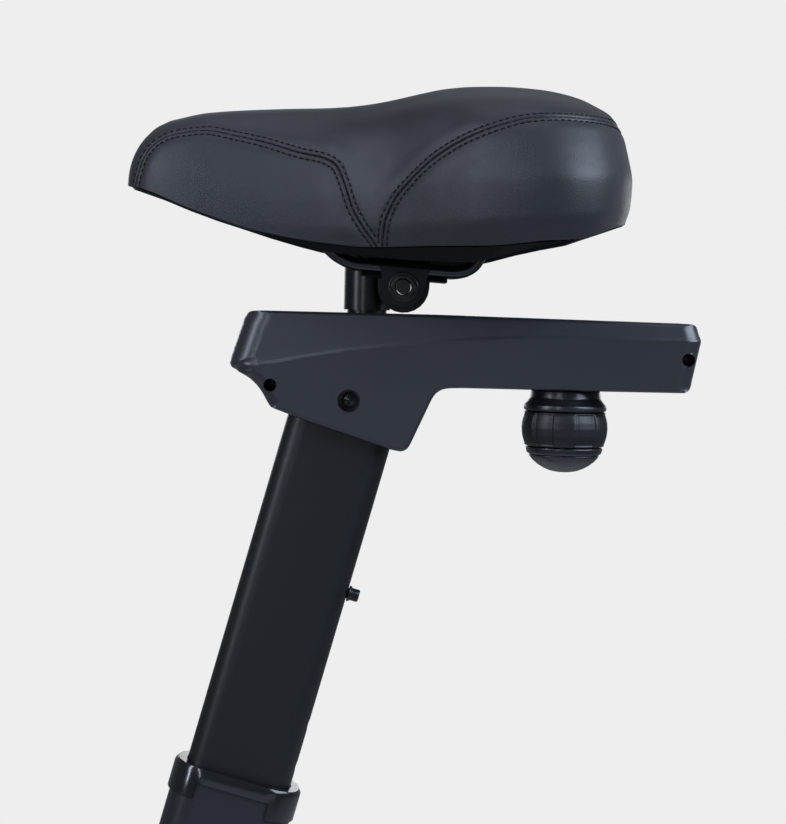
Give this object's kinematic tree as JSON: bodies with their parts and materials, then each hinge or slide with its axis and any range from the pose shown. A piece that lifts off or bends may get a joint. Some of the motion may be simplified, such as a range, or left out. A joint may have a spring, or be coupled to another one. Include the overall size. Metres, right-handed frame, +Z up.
{
  "type": "exercise bike saddle and seat post",
  "caption": "Padded bike saddle on rails and a one-bolt clamp, on a fore-and-aft slider with a ball knob, on a leaning height-adjustable seat post in a length of seat tube.",
  "frame": {"origin": "centre of the seat tube's level-cut lower end, on the tube's axis", "axes": "+Z up, nose of the saddle towards -X, rider's left side towards -Y, tube and post lean 15 degrees from +Z towards +X"},
  "size_m": [0.3554, 0.2112, 0.6413],
  "materials": {
    "frame_paint": "satin black powder coat",
    "post_paint": "satin dark grey powder coat, lightly scuffed",
    "black_steel": "black oxide and black paint",
    "zinc_steel": "zinc plated",
    "gloss_plastic": "glossy moulded black",
    "satin_plastic": "fine textured moulded dark grey",
    "pan_plastic": "matt moulded black",
    "nylon": "natural nylon",
    "grip_rubber": "soft moulded black",
    "pad_foam": "open polyurethane foam under the cover",
    "cover_leather": "matt synthetic leather with a fine grain"
  },
  "bodies": {
    "seat_tube": {"seat_tube": "frame_paint", "tube_collar": "gloss_plastic", "pin_boss": "frame_paint", "pin_sleeve": "black_steel", "pin_spring": "zinc_steel"},
    "lock_pin": {"lock_pin": "zinc_steel", "pin_knob": "satin_plastic"},
    "post": {"post_tube": "post_paint", "post_foot_glide": "nylon", "stop_screw": "black_steel", "housing_left": "satin_plastic", "housing_right": "satin_plastic", "housing_screw_front": "black_steel", "housing_screw_middle": "black_steel", "housing_screw_rear": "black_steel", "slide_channel": "black_steel", "slide_liner": "nylon", "spindle_boss": "black_steel"},
    "slider": {"slider_bar": "black_steel", "slider_end_plug": "nylon", "saddle_pillar": "black_steel", "pillar_cap": "pan_plastic"},
    "clamp_pad": {"spindle_pad": "nylon"},
    "clamp_knob": {"clamp_spindle": "zinc_steel", "knob_core": "satin_plastic", "knob_grip": "grip_rubber", "knob_cap": "gloss_plastic"},
    "clamp": {"clamp_band": "black_steel", "clamp_core_left": "black_steel", "clamp_core_right": "black_steel"},
    "saddle": {"clamp_bolt": "zinc_steel", "inner_cup_left": "black_steel", "inner_cup_right": "black_steel", "outer_cup_left": "black_steel", "outer_cup_right": "black_steel", "clamp_washer_left": "zinc_steel", "clamp_washer_right": "zinc_steel", "clamp_nut_left": "black_steel", "clamp_nut_right": "black_steel", "rail_left": "black_steel", "rail_right": "black_steel", "socket_screw_front_left": "zinc_steel", "socket_screw_front_right": "zinc_steel", "socket_screw_rear_left": "zinc_steel", "socket_screw_rear_right": "zinc_steel", "saddle_pan": "pan_plastic", "foam_pad": "pad_foam", "cover_top": "cover_leather", "cover_nose_left": "cover_leather", "cover_nose_right": "cover_leather", "cover_rear": "cover_leather"}
  },
  "joints": [
    {"name": "seat_height", "type": "slide", "parent": "seat_tube", "child": "post", "axis": [0.2588, 0, 0.9659], "range_m": [-0.1, 0.075]},
    {"name": "pin_engage", "type": "slide", "parent": "seat_tube", "child": "lock_pin", "axis": [-0.9659, 0, 0.2588], "range_m": [0, 0.006]},
    {"name": "seat_fore_aft", "type": "slide", "parent": "post", "child": "slider", "axis": [1, 0, 0], "range_m": [-0.03, 0.025]},
    {"name": "clamp_travel", "type": "slide", "parent": "post", "child": "clamp_pad", "axis": [0, 0, -1], "range_m": [0, 0.00125]},
    {"name": "knob_turn", "type": "hinge", "parent": "clamp_pad", "child": "clamp_knob", "pos_m": [0.247, 0, 0.458], "axis": [0, 0, -1], "range_deg": [0, 360]},
    {"name": "saddle_swivel", "type": "hinge", "parent": "slider", "child": "clamp", "pos_m": [0.135, 0, 0.538], "axis": [0, 0, 1], "range_deg": [-30, 30]},
    {"name": "saddle_tilt", "type": "hinge", "parent": "clamp", "child": "saddle", "pos_m": [0.1551, 0, 0.5329], "axis": [0, 1, 0], "range_deg": [-12, 12]}
  ],
  "couplings": [
    {"joint": "clamp_travel", "follows": "knob_turn", "m_per_rad": 0.00019894}
  ]
}
